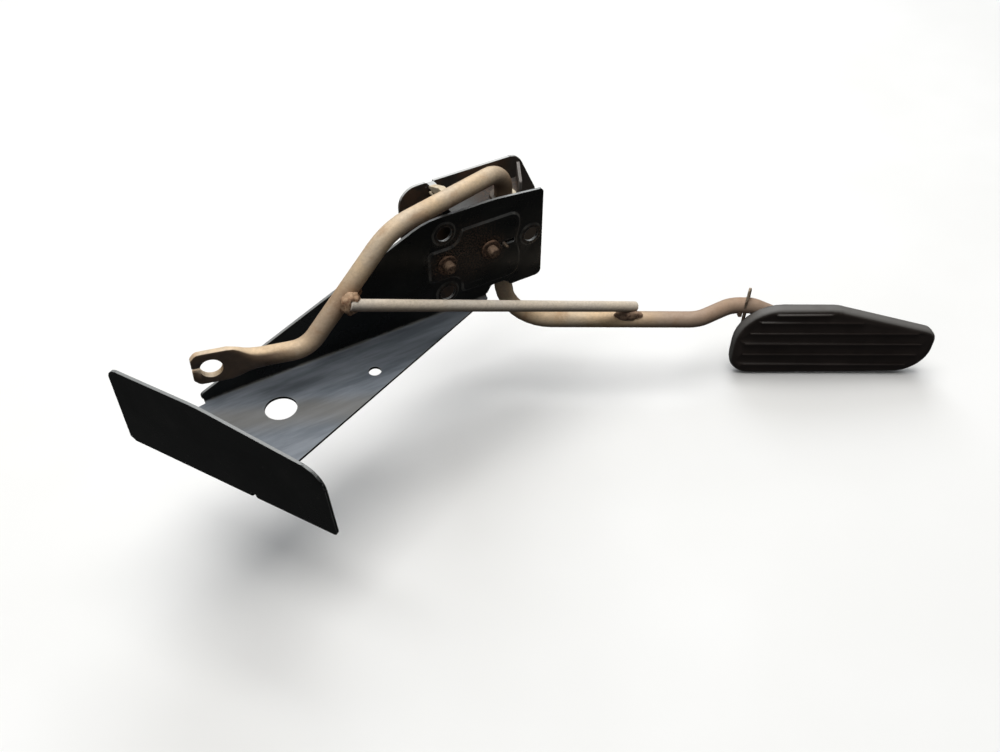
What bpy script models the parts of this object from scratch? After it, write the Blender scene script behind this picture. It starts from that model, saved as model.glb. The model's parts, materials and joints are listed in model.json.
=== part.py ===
"""Rod-type accelerator pedal on a folded sheet-steel bracket, at rest on its idle stop.

Lengths below are in millimetres. X runs along the wall of the bracket, Y goes through the wall
away from the driver and Z is the pivot axis. The world origin is the centre of the wall's three
bolt holes, on the face that the driver sees.
"""

import math

import bmesh
import bpy
from mathutils import Vector
from mathutils.geometry import delaunay_2d_cdt

MM = 0.001
GAP = 0.3

# Sheet metal
SHEET = 1.5
FOLD_R = 1.6
WALL_LENGTH = 203.0
WALL_HEIGHT = 62.6
WALL_DROP = 2.8
WALL_TAPER = 0.444
WEB_DEPTH = 72.4
WEB_SPLAY = 36.7
FLANGE_HEIGHT = 47.7
WING_REACH = 46.5
BOLT_HOLE_D = 8.8
BOSS_D = 14.4
BOSS_RISE = 0.7
PLATEAU_RISE = 1.0
WEB_HOLE_D = 16.4
WEB_SMALL_HOLE_D = 6.8

# Rod
ROD_D = 10.0
AXLE_INSET = 18.4
ARM_CLEAR = 3.6
ARM_SLOPE = 0.25
RAMP_SLOPE = 0.124
ARM_RAMP = 0.915
RAMP_FOOT_Z = 22.6
EYE_Z = 24.5
LOWER_Z = -33.8
LOWER_BEND_R = 30.0
PEDAL_YAW = math.radians(31.0)
BRACE_D = 6.4
BRACE_UP = 31.0
BRACE_OUT = 80.5
RUNNING = 0.1

# Eye at the cable end
EYE_X = 8.5
EYE_HOLE_D = 11.2
EYE_HEIGHT = 19.0
EYE_THICK = 3.6
EYE_END = 9.3
EYE_SLOT = 3.0

# Pivot channel and rear plate
CHANNEL_LOW = 8.0
CHANNEL_DEPTH = 27.1
EAR_TOP = 54.0
LIP_TOP = 64.6
LIP_INSET = 1.65
LIP_RUN = 9.6
REAR_TOP = 65.4
REAR_DROP = 19.5
REAR_FOOT = 3.7
REAR_FOOT_LOW = -1.5
BUSH_WALL = 1.2
BUSH_FLANGE = 1.3
BUSH_RIM = 1.2

# Return spring
WIRE_D = 2.0
SPRING_CLEAR = 1.4
SPRING_TURNS = 6
SPRING_LEG_Z = 33.6
SPRING_REACH = 2.6
SPRING_LEAVE = math.radians(46.0)
TRAVEL = math.radians(20.0)

# Rivets
RIVET_D = 6.4
RIVET_STUB = 4.4
WASHER_D = 11.4
WASHER_T = 1.2

# Pad
PAD_LENGTH = 126.0
PAD_HEIGHT = 52.0
PAD_THICK = 6.0
PAD_START = 144.3
PAD_TOP = 5.8
PAD_RIM = 3.0
PAD_SHOULDER = 0.48
PAD_NOSE_DROP = 18.18
PAD_RIBS = 6
PAD_RIB_RISE = 0.9
PAD_RIB_FIRST = 3.6
PAD_RIB_PITCH = 8.6
PAD_RIB_CROWD = 2.6
PLATE_T = 1.5
EAR_INSET = 3.98
EAR_LEAN = 0.4
JOG = 13.7

ROD_R = ROD_D / 2
BRACE_R = BRACE_D / 2
WIRE_R = WIRE_D / 2
SPRING_R = ROD_R + SPRING_CLEAR + WIRE_R
SPRING_EXIT_R = SPRING_R + SPRING_REACH
AXLE_Y = SHEET + GAP + SHEET + GAP + WIRE_R + SPRING_R
TAU = 2 * math.pi

BOLTS = (
    Vector((WALL_LENGTH - 61.9, 0, 52.2)),
    Vector((WALL_LENGTH - 7.6, 0, 32.6)),
    Vector((WALL_LENGTH - 61.0, 0, 12.8)),
)
CENTRE = (BOLTS[0] + BOLTS[1] + BOLTS[2]) / 3
X_AXIS = Vector((1, 0, 0))
Y_AXIS = Vector((0, 1, 0))
Z_AXIS = Vector((0, 0, 1))


def clear_scene():
    for old in list(bpy.data.objects):
        bpy.data.objects.remove(old, do_unlink=True)
    for old in list(bpy.data.meshes):
        bpy.data.meshes.remove(old)


def material(name, colour, roughness, metallic):
    made = bpy.data.materials.new(name)
    made.use_nodes = True
    shader = made.node_tree.nodes["Principled BSDF"]
    shader.inputs["Base Color"].default_value = (*colour, 1)
    shader.inputs["Roughness"].default_value = roughness
    shader.inputs["Metallic"].default_value = metallic
    made.diffuse_color = (*colour, 1)
    return made


def place(point):
    return (Vector(point) - CENTRE) * MM


def finish(name, bm, paint, smooth=35.0):
    """Makes the object from a mesh in bracket millimetres."""
    for vertex in bm.verts:
        vertex.co = place(vertex.co)
    mesh = bpy.data.meshes.new(name)
    bm.to_mesh(mesh)
    bm.free()
    made = bpy.data.objects.new(name, mesh)
    bpy.context.scene.collection.objects.link(made)
    if paint:
        mesh.materials.append(paint)
        mesh.shade_smooth()
        mesh.set_sharp_from_angle(angle=math.radians(smooth))
    else:
        made.hide_render = True
        made.display_type = "WIRE"
    return made


def boolean(target, tool, operation):
    made = target.modifiers.new(tool.name, "BOOLEAN")
    made.solver = "EXACT"
    made.operation = operation
    made.object = tool


def arc(centre, radius, start, end, steps):
    out = []
    for i in range(steps + 1):
        angle = start + (end - start) * i / steps
        out.append((centre[0] + radius * math.cos(angle), centre[1] + radius * math.sin(angle)))
    return out


def circle(x, y, radius, count=24):
    return arc((x, y), radius, 0, TAU * (count - 1) / count, count - 1)


def rounded(corners, step=math.radians(15), pieces=None):
    """A closed outline from (x, y, radius) corners, each rounded by an arc of the given pieces."""
    out = []
    count = len(corners)
    for i, (x, y, radius) in enumerate(corners):
        here = Vector((x, y))
        before = (Vector(corners[i - 1][:2]) - here).normalized()
        after = (Vector(corners[(i + 1) % count][:2]) - here).normalized()
        half = before.angle(after, 0) / 2
        if radius <= 0 or half > math.radians(89):
            out.append((x, y))
            continue
        reach = radius / math.tan(half)
        centre = here + (before + after).normalized() * (radius / math.sin(half))
        first = here + before * reach - centre
        last = here + after * reach - centre
        turn = first.angle_signed(last, 0)
        steps = pieces or max(2, math.ceil(abs(turn) / step))
        start = math.atan2(first.y, first.x)
        out += arc(centre, radius, start, start - turn, steps)
    return out


def inside(point, loop):
    found = False
    x, y = point
    for (ax, ay), (bx, by) in zip(loop, loop[1:] + loop[:1]):
        if (ay > y) != (by > y) and x < (bx - ax) * (y - ay) / (by - ay) + ax:
            found = not found
    return found


def tangent_frame(direction, up):
    side = up.cross(direction).normalized()
    return side, direction.cross(side).normalized()


class Skin:
    """One face of a folded sheet: flat patches joined by bends. The sheet's thickness lies behind it."""

    def __init__(self):
        self.bm = bmesh.new()

    def face(self, points, facing):
        verts = [self.bm.verts.new(p) for p in points]
        made = self.bm.faces.new(verts)
        made.normal_update()
        if made.normal.dot(facing) < 0:
            made.normal_flip()

    def patch(self, outer, to_3d, facing, holes=(), steps=()):
        """A flat patch with holes. Each (loop, height) in steps is raised towards the facing side."""
        coords, edges, heights = [], [], []
        loops = [(outer, 0.0), *steps]
        for hole in holes:
            middle = Vector((sum(p[0] for p in hole), sum(p[1] for p in hole))) / len(hole)
            level = 0.0
            for loop, height in steps:
                if inside(middle, loop):
                    level = height
            loops.append((hole, level))
        for loop, height in loops:
            first = len(coords)
            coords += [Vector(p) for p in loop]
            heights += [height] * len(loop)
            count = len(loop)
            edges += [(first + i, first + (i + 1) % count) for i in range(count)]
        verts, _, faces, origin, _, _ = delaunay_2d_cdt(coords, edges, [], 1, 1e-6)
        level = [heights[source[0]] for source in origin]
        for face in faces:
            middle = sum((verts[i] for i in face), Vector((0, 0))) / len(face)
            if not inside(middle, outer) or any(inside(middle, hole) for hole in holes):
                continue
            self.face([to_3d(verts[i].x, verts[i].y) + facing * level[i] for i in face], facing)

    def bend(self, along, axis_point, axis, start, end, radius, outward, steps=5):
        """A quarter bend about axis, from the direction start to the direction end."""
        rows = []
        for t in along:
            row = []
            for i in range(steps + 1):
                angle = math.pi / 2 * i / steps
                radial = start * math.cos(angle) + end * math.sin(angle)
                row.append((axis_point + axis * t + radial * radius, radial * outward))
            rows.append(row)
        for row, after in zip(rows, rows[1:]):
            for i in range(steps):
                corners = (row[i], row[i + 1], after[i + 1], after[i])
                facing = sum((corner[1] for corner in corners), Vector())
                self.face([corner[0] for corner in corners], facing)

    def solid(self, name, paint, thickness):
        bmesh.ops.remove_doubles(self.bm, verts=self.bm.verts, dist=0.002)
        made = finish(name, self.bm, paint)
        solidify = made.modifiers.new("sheet", "SOLIDIFY")
        solidify.thickness = thickness * MM
        solidify.offset = -1
        solidify.use_even_offset = True
        solidify.use_quality_normals = False
        return made


def spaced(start, end, pieces):
    return [start + (end - start) * i / pieces for i in range(pieces + 1)]


def prism(outline, to_3d, depth):
    """A solid from an outline, pushed along depth."""
    bm = bmesh.new()
    near = [bm.verts.new(to_3d(*p)) for p in outline]
    far = [bm.verts.new(to_3d(*p) + depth) for p in outline]
    bm.faces.new(near)
    bm.faces.new(list(reversed(far)))
    count = len(outline)
    for i in range(count):
        j = (i + 1) % count
        bm.faces.new((near[j], near[i], far[i], far[j]))
    bmesh.ops.recalc_face_normals(bm, faces=bm.faces)
    return bm


def ring(centre, axis, profile, sides=32):
    """A solid of revolution from (radius, height) points round a centre."""
    bm = bmesh.new()
    side, up = tangent_frame(axis, Vector((0.3, 0.5, 0.8)).normalized())
    loops = []
    for radius, height in profile:
        loop = []
        for i in range(sides):
            angle = TAU * i / sides
            spoke = side * math.cos(angle) + up * math.sin(angle)
            loop.append(bm.verts.new(centre + axis * height + spoke * radius))
        loops.append(loop)
    for loop, after in zip(loops, loops[1:] + loops[:1]):
        for i in range(sides):
            j = (i + 1) % sides
            bm.faces.new((loop[i], loop[j], after[j], after[i]))
    bmesh.ops.recalc_face_normals(bm, faces=bm.faces)
    return bm


def turned(centre, axis, profile, sides=24):
    """A turned solid closed by flat ends, from (radius, height) points."""
    bm = bmesh.new()
    side, up = tangent_frame(axis, Vector((0.3, 0.5, 0.8)).normalized())
    loops = []
    for radius, height in profile:
        loop = []
        for i in range(sides):
            angle = TAU * i / sides
            spoke = side * math.cos(angle) + up * math.sin(angle)
            loop.append(bm.verts.new(centre + axis * height + spoke * radius))
        loops.append(loop)
    for loop, after in zip(loops, loops[1:]):
        for i in range(sides):
            j = (i + 1) % sides
            bm.faces.new((loop[i], loop[j], after[j], after[i]))
    bm.faces.new(list(reversed(loops[0])))
    bm.faces.new(loops[-1])
    bmesh.ops.recalc_face_normals(bm, faces=bm.faces)
    return bm


def path(corners, step=math.radians(9)):
    """Centre points of a bent rod from (corner, bend radius) pairs."""
    out = [corners[0][0]]
    for i in range(1, len(corners) - 1):
        here, radius = corners[i]
        before = (corners[i - 1][0] - here).normalized()
        after = (corners[i + 1][0] - here).normalized()
        half = before.angle(after) / 2
        reach = radius / math.tan(half)
        centre = here + (before + after).normalized() * (radius / math.sin(half))
        first = here + before * reach - centre
        last = here + after * reach - centre
        turn = first.angle(last)
        steps = max(2, math.ceil(turn / step))
        for k in range(steps + 1):
            spread = turn * k / steps
            weight_a = math.sin(turn - spread) / math.sin(turn)
            weight_b = math.sin(spread) / math.sin(turn)
            out.append(centre + first * weight_a + last * weight_b)
    out.append(corners[-1][0])
    return out


def sweep(points, sizes, up, sides=24, squareness=None):
    """A solid along points. Each size is (half width, half height) of the section."""
    bm = bmesh.new()
    directions = []
    for i in range(len(points)):
        ahead = points[min(i + 1, len(points) - 1)] - points[i]
        behind = points[i] - points[max(i - 1, 0)]
        directions.append((ahead.normalized() + behind.normalized()).normalized())
    side, up = tangent_frame(directions[0], up)
    loops = []
    for i, point in enumerate(points):
        direction = directions[i]
        side = (side - direction * side.dot(direction)).normalized()
        up = direction.cross(side).normalized()
        power = 1.0 if squareness is None else squareness[i]
        loop = []
        for k in range(sides):
            angle = TAU * (k + 0.5) / sides
            c, s = math.cos(angle), math.sin(angle)
            c = math.copysign(abs(c) ** power, c)
            s = math.copysign(abs(s) ** power, s)
            loop.append(bm.verts.new(point + side * (c * sizes[i][0]) + up * (s * sizes[i][1])))
        loops.append(loop)
    for loop, after in zip(loops, loops[1:]):
        for i in range(sides):
            j = (i + 1) % sides
            bm.faces.new((loop[i], loop[j], after[j], after[i]))
    bm.faces.new(list(reversed(loops[0])))
    bm.faces.new(loops[-1])
    bmesh.ops.recalc_face_normals(bm, faces=bm.faces)
    return bm


def round_rod(name, points, radius, paint, sides=24, chamfer=0.6):
    """A round rod with chamfered ends."""
    first = (points[1] - points[0]).normalized()
    last = (points[-2] - points[-1]).normalized()
    line = [points[0], points[0] + first * chamfer, *points[1:-1], points[-1] + last * chamfer, points[-1]]
    sizes = [(radius - chamfer, radius - chamfer)]
    sizes += [(radius, radius)] * (len(line) - 2)
    sizes += [(radius - chamfer, radius - chamfer)]
    return finish(name, sweep(line, sizes, Z_AXIS, sides), paint)


def bead(name, centre, axes, radii, cutters, paint):
    """A lumpy weld bead, cut back from the rods that it joins."""
    bm = bmesh.new()
    bmesh.ops.create_uvsphere(bm, u_segments=24, v_segments=14, radius=1)
    for vertex in bm.verts:
        p = vertex.co.copy()
        lump = 1 + 0.05 * math.sin(9 * p.x + 2 * p.z) + 0.04 * math.sin(7 * p.y + 5 * p.z)
        scaled = (p.x * radii[0], p.y * radii[1], p.z * radii[2])
        vertex.co = centre + sum((axis * (k * lump) for axis, k in zip(axes, scaled)), Vector())
    made = finish(name, bm, paint)
    for cutter in cutters:
        boolean(made, cutter, "DIFFERENCE")
    return made


clear_scene()

PAINT = material("bracket_paint", (0.016, 0.017, 0.016), 0.35, 0.0)
REAR_PAINT = material("rear_plate_paint", (0.018, 0.018, 0.017), 0.4, 0.0)
CHANNEL_PAINT = material("channel_paint", (0.1, 0.1, 0.1), 0.5, 0.0)
ROD_STEEL = material("rod_steel", (0.6, 0.48, 0.36), 0.5, 0.3)
BRACE_STEEL = material("brace_steel", (0.6, 0.52, 0.44), 0.45, 0.3)
WELD_STEEL = material("weld_steel", (0.2, 0.11, 0.06), 0.75, 0.2)
RIVET_STEEL = material("rivet_steel", (0.3, 0.2, 0.13), 0.65, 0.4)
WASHER_STEEL = material("washer_steel", (0.2, 0.13, 0.09), 0.7, 0.4)
SPRING_STEEL = material("spring_steel", (0.35, 0.34, 0.32), 0.35, 0.8)
NYLON = material("nylon", (0.75, 0.66, 0.5), 0.5, 0.0)
RUBBER = material("pad_rubber", (0.03, 0.027, 0.025), 0.6, 0.0)
PLATE_STEEL = material("backing_steel", (0.3, 0.26, 0.22), 0.5, 0.4)

AXLE_X = WALL_LENGTH - AXLE_INSET
AXLE = Vector((AXLE_X, AXLE_Y, 0))
ARM_Z = WALL_HEIGHT + ARM_CLEAR + ROD_R
ALONG = Vector((math.cos(PEDAL_YAW), -math.sin(PEDAL_YAW), 0))
BACK = Vector((math.sin(PEDAL_YAW), math.cos(PEDAL_YAW), 0))


def on_wall(x, z):
    return Vector((x, 0, z))


def hole_ring(bolt, diameter):
    return circle(bolt.x, bolt.z, diameter / 2, 28)


def plateau(inset):
    """The raised middle of the wall, stepping back round each bolt boss."""
    left = WALL_LENGTH - 72.0 + inset
    right = WALL_LENGTH - 14.6 - inset
    waist = WALL_LENGTH - 16.4 - inset
    bottom = 9.2 + inset
    top = 51.6 - inset
    inner_x = BOLTS[0].x + 9.6 + inset
    low_step = BOLTS[2].z + 9.4 + inset
    high_step = BOLTS[0].z - 9.4 - inset
    middle = BOLTS[1].z
    grip = 7.5 + inset
    loose = 6.5 - inset
    return rounded(
        [
            (left, low_step, 2.5),
            (inner_x, low_step, grip),
            (inner_x, bottom, 2.5),
            (right, bottom, loose),
            (right, middle - 9, 6),
            (waist, middle - 2, 6),
            (waist, middle + 2, 6),
            (right, middle + 9, 6),
            (right, top, loose),
            (inner_x, top, 2.5),
            (inner_x, high_step, grip),
            (left, high_step, 2.5),
        ]
    )


RIVETS = (
    Vector((WALL_LENGTH - 61.3, 0, 32.6)),
    Vector((WALL_LENGTH - 34.3, 0, 32.8)),
)
SLOT_START = AXLE_X - SPRING_R - WIRE_R - GAP - 0.4
SLOT_END = WALL_LENGTH - 18.6
SLOT_HALF = WIRE_R + 0.6


def leg_slot():
    """The slot that the spring's upper leg comes through."""
    z = SPRING_LEG_Z
    return rounded(
        [
            (SLOT_START, z - SLOT_HALF, 1.2),
            (SLOT_END, z - SLOT_HALF, 1.2),
            (SLOT_END, z + SLOT_HALF, 1.2),
            (SLOT_START, z + SLOT_HALF, 1.2),
        ]
    )


def make_bracket():
    skin = Skin()
    fold_end = WALL_LENGTH - 36.5
    fold_xs = spaced(1.5, fold_end, 12)
    knee_x = (WALL_HEIGHT - 4.6) / WALL_TAPER
    free_bottom = 2.2
    outer = rounded(
        [
            *[(x, FOLD_R, 0) for x in fold_xs],
            (fold_end + 1.0, FOLD_R + 0.4, 0),
            (WALL_LENGTH - 33.0, 6.4, 1.5),
            (WALL_LENGTH - 24.5, 6.4, 1.5),
            (WALL_LENGTH - 20.0, free_bottom, 2.0),
            (WALL_LENGTH, free_bottom, 3.5),
            (WALL_LENGTH, WALL_HEIGHT - WALL_DROP, 2.5),
            (WALL_LENGTH - 31.0, WALL_HEIGHT + 0.2, 60.0),
            (knee_x, WALL_HEIGHT, 38.0),
            (0.6, 4.9, 2.5),
            (0.6, 2.6, 0.5),
        ],
        math.radians(10),
    )
    steps = [(plateau(0), 0.0), (plateau(1.2), PLATEAU_RISE)]
    for bolt in BOLTS:
        steps += [(hole_ring(bolt, BOSS_D), 0.0), (hole_ring(bolt, BOSS_D - 2.2), BOSS_RISE)]
    holes = [hole_ring(bolt, BOLT_HOLE_D) for bolt in BOLTS]
    holes += [circle(rivet.x, rivet.z, RIVET_D / 2 + 0.15, 20) for rivet in RIVETS]
    holes.append(leg_slot())
    skin.patch(outer, on_wall, -Y_AXIS, holes, steps)
    centre = Vector((0, -FOLD_R, FOLD_R))
    skin.bend(fold_xs, centre, X_AXIS, Y_AXIS, -Z_AXIS, FOLD_R, -1)

    corner = Vector((0.8, -WEB_DEPTH, 0))
    far_corner = Vector((-WEB_SPLAY, -8.5, 0))
    run = (far_corner - corner).normalized()
    inward = Vector((run.y, -run.x, 0))
    span = (far_corner - corner).length

    def on_flange(s, z):
        return corner + run * s + inward * SHEET + Z_AXIS * z

    flange_xs = spaced(2.2, span - 1.2, 8)
    edge = Vector((WALL_LENGTH - 32.0, 0, 0)) - corner
    web = [(x, -FOLD_R) for x in reversed(fold_xs)]
    for s in reversed(flange_xs):
        p = corner + run * s + inward * (SHEET + FOLD_R)
        web.append((p.x, p.y))
    start = corner + edge.normalized() * (SHEET + FOLD_R + 2.0)
    web.append((start.x, start.y))
    big = (WALL_LENGTH - 170.2, -24.2)
    small = (WALL_LENGTH - 117.9, -23.9)
    web_holes = [circle(*big, WEB_HOLE_D / 2, 32), circle(*small, WEB_SMALL_HOLE_D / 2, 20)]
    skin.patch(web, lambda x, y: Vector((x, y, 0)), Z_AXIS, web_holes)

    outer = rounded(
        [
            *[(s, FOLD_R, 0) for s in flange_xs],
            (span + 1.1, FOLD_R + 1.2, 0.8),
            (span + 1.1, FLANGE_HEIGHT, 6.0),
            (span * 0.31, FLANGE_HEIGHT + 0.2, 80.0),
            (-WING_REACH + 3.6, FLANGE_HEIGHT * 0.835, 13.0),
            (-WING_REACH, 0.9, 2.0),
            (-1.6, 0.9, 0.6),
            (-0.6, 3.6, 0.8),
            (1.2, 3.6, 0.6),
        ],
        math.radians(10),
    )
    skin.patch(outer, on_flange, inward)
    centre = corner + inward * (SHEET + FOLD_R) + Z_AXIS * FOLD_R
    skin.bend(flange_xs, centre, run, -inward, -Z_AXIS, FOLD_R, -1)
    return skin.solid("main_bracket", PAINT, SHEET)


BASE_Y = SHEET + GAP + SHEET
SLOT_HALF = WIRE_R + 0.4
BUSH_HOLE_R = ROD_R + BUSH_WALL + 0.25
COIL_REAR_Y = AXLE_Y + SPRING_EXIT_R + SLOT_HALF + FOLD_R + 1.0
REAR_Y = max(BASE_Y + CHANNEL_DEPTH - SHEET - SHEET - GAP, COIL_REAR_Y)
EAR_UNDER = EAR_TOP - SHEET
EAR_FLOOR = CHANNEL_LOW + SHEET


def make_channel():
    """A C of sheet: a base against the wall, two ears and two weld flanges."""
    skin = Skin()
    left = WALL_LENGTH - 50.0
    base_right = WALL_LENGTH - 15.0
    right = AXLE_X + BUSH_HOLE_R - LIP_INSET
    base_xs = spaced(left, base_right, 5)
    flange_xs = spaced(left + 1, WALL_LENGTH - 8.0, 5)
    base_left = WALL_LENGTH - 68.5
    waist = WALL_LENGTH - 16.6
    low = EAR_FLOOR + FOLD_R
    high = EAR_UNDER - FOLD_R
    middle = BOLTS[1].z
    step_low = BOLTS[2].z + 8.4
    step_high = BOLTS[0].z - 8.4
    outer = rounded(
        [
            *[(x, low, 0) for x in base_xs],
            (base_right, middle - 8, 4),
            (waist, middle, 8),
            (base_right, middle + 8, 4),
            *[(x, high, 0) for x in reversed(base_xs)],
            (left - 0.6, step_high, 1),
            (base_left, step_high, 3),
            (base_left, step_low, 3),
            (left - 0.6, step_low, 1),
        ]
    )
    holes = [circle(rivet.x, rivet.z, RIVET_D / 2 + 0.15, 20) for rivet in RIVETS]
    holes.append(leg_slot())
    skin.patch(outer, lambda x, z: Vector((x, BASE_Y, z)), Y_AXIS, holes)
    front = BASE_Y + FOLD_R
    rear = REAR_Y - FOLD_R
    lip_near = Vector((right, front + 1.4))
    lip_far = Vector((right + LIP_RUN, rear - 0.8))
    bush_hole = circle(AXLE_X, AXLE_Y, BUSH_HOLE_R, 32)
    for level, is_top in ((EAR_FLOOR, False), (EAR_UNDER, True)):
        away = -Z_AXIS if is_top else Z_AXIS
        ear = [(x, front, 0) for x in base_xs]
        lip_ends = [lip_near.lerp(lip_far, t) for t in spaced(0, 1, 4)]
        ear += [(p.x, p.y, 0) for p in lip_ends]
        if is_top:
            ear_holes = [bush_hole]
        else:
            leave = SPRING_LEAVE
            reach = SPRING_EXIT_R
            turn = (leave - 0.16, leave + TRAVEL + 0.16)
            path_out = arc((AXLE_X, AXLE_Y), reach + SLOT_HALF, turn[0], turn[1], 6)
            path_back = arc((AXLE_X, AXLE_Y), reach - SLOT_HALF, turn[1], turn[0], 6)
            ear_holes = [bush_hole, path_out + path_back]
        ear += [(x, rear, 0) for x in reversed(flange_xs)]
        ear.append((left, rear - 1.5, 0))

        def on_ear(x, y, z=level):
            return Vector((x, y, z))

        skin.patch(rounded(ear), on_ear, away, ear_holes)
        axis_z = level + FOLD_R * away.z
        skin.bend(base_xs, Vector((0, front, axis_z)), X_AXIS, -Y_AXIS, -away, FOLD_R, -1)
        skin.bend(flange_xs, Vector((0, rear, axis_z)), X_AXIS, Y_AXIS, -away, FOLD_R, -1)
        tip = axis_z + 9.0 * away.z
        weld = [(x, axis_z) for x in flange_xs]
        weld += [(flange_xs[-1] - 1, tip), (flange_xs[0] + 1, tip)]
        skin.patch(weld, lambda x, z: Vector((x, REAR_Y, z)), -Y_AXIS)

    line = Vector((lip_far.x - lip_near.x, lip_far.y - lip_near.y, 0)).normalized()
    outward = Vector((line.y, -line.x, 0))
    radius = FOLD_R + SHEET
    start = Vector((lip_near.x, lip_near.y, EAR_UNDER + radius))
    length = (lip_far - lip_near).length
    stops = spaced(0, length, 4)
    skin.bend(stops, start, line, outward, -Z_AXIS, radius, 1)

    def on_lip(s, z):
        return start + line * s + outward * radius + Z_AXIS * (z - start.z)

    lip = rounded([*[(s, start.z, 0) for s in stops], (length, LIP_TOP, 0.8), (0, LIP_TOP, 0.8)])
    skin.patch(lip, on_lip, outward)
    return skin.solid("pivot_channel", CHANNEL_PAINT, SHEET)


PLATE_Y = REAR_Y + SHEET + GAP
TAB_LEFT = WALL_LENGTH - 56.2
TAB_RIGHT = WALL_LENGTH - 52.2
TAB_SLIT = 0.35
SLEEVE_WALL = 1.3
SLEEVE_LEFT = TAB_LEFT - GAP - SLEEVE_WALL
SLEEVE_RIGHT = TAB_RIGHT - 1.8
TAB_END_Y = PLATE_Y - 13.5
TAB_UNDER = REAR_TOP + 0.3 - SHEET


def make_rear_plate():
    """The plate behind the rod, with the idle stop tab folded forward from its top edge."""
    skin = Skin()
    left = WALL_LENGTH - 73.0
    right = WALL_LENGTH + 13.3
    middle = WALL_HEIGHT / 2
    fold = TAB_UNDER - FOLD_R
    tab_xs = spaced(TAB_LEFT, TAB_RIGHT, 2)
    outer = rounded(
        [
            (left, -REAR_DROP, 10),
            (right - 35, -REAR_DROP, 14),
            (right + REAR_FOOT, REAR_FOOT_LOW, 6),
            (right + REAR_FOOT, middle - 9, 6),
            (right, middle + 9, 6),
            (right - 12, REAR_TOP, 9),
            (TAB_RIGHT + TAB_SLIT, REAR_TOP, 0),
            (TAB_RIGHT + TAB_SLIT, fold - 0.4, 0),
            *[(x, fold, 0) for x in reversed(tab_xs)],
            (TAB_LEFT - TAB_SLIT, fold - 0.4, 0),
            (TAB_LEFT - TAB_SLIT, REAR_TOP, 0),
            (left, REAR_TOP, 11),
        ]
    )
    skin.patch(outer, lambda x, z: Vector((x, PLATE_Y, z)), -Y_AXIS)
    axis_point = Vector((0, PLATE_Y - FOLD_R, fold))
    skin.bend(tab_xs, axis_point, X_AXIS, Y_AXIS, Z_AXIS, FOLD_R, -1)
    tab = [(x, PLATE_Y - FOLD_R) for x in reversed(tab_xs)]
    tab += [(TAB_LEFT, TAB_END_Y), (TAB_RIGHT, TAB_END_Y)]
    skin.patch(tab, lambda x, y: Vector((x, y, TAB_UNDER)), -Z_AXIS)
    return skin.solid("rear_plate", REAR_PAINT, SHEET)


def arm_y(x):
    return AXLE_Y + ARM_SLOPE * (x - AXLE_X)


RAMP_TOP_X = AXLE_X - 76.8
RAMP_FOOT_X = RAMP_TOP_X - (ARM_Z - RAMP_FOOT_Z) / ARM_RAMP
RAMP_TOP = Vector((RAMP_TOP_X, arm_y(RAMP_TOP_X), ARM_Z))
RAMP_FOOT_Y = RAMP_TOP.y + RAMP_SLOPE * (RAMP_FOOT_X - RAMP_TOP_X)
RAMP_FOOT = Vector((RAMP_FOOT_X, RAMP_FOOT_Y, RAMP_FOOT_Z))
EYE = Vector((EYE_X, min(-4.3, -EYE_THICK), EYE_Z))
EYE_LINE = (RAMP_FOOT - EYE).normalized()


ARM_END = Vector((AXLE_X, AXLE_Y, ARM_Z))
ARM_FOOT = Vector((AXLE_X, AXLE_Y, LOWER_Z))
JOG_START = ARM_FOOT + ALONG * (PAD_START - 25.0)
JOG_END = ARM_FOOT + ALONG * (PAD_START - 3.0) + BACK * JOG
DIP = JOG_END + ALONG * 13.0
ROD_END = DIP + ALONG * 30.0 - Z_AXIS * 14.0
LOWER_CORNERS = [
    (ARM_FOOT, LOWER_BEND_R),
    (JOG_START, 20.0),
    (JOG_END, 20.0),
    (DIP, 14.0),
    (ROD_END, 0),
]


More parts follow.
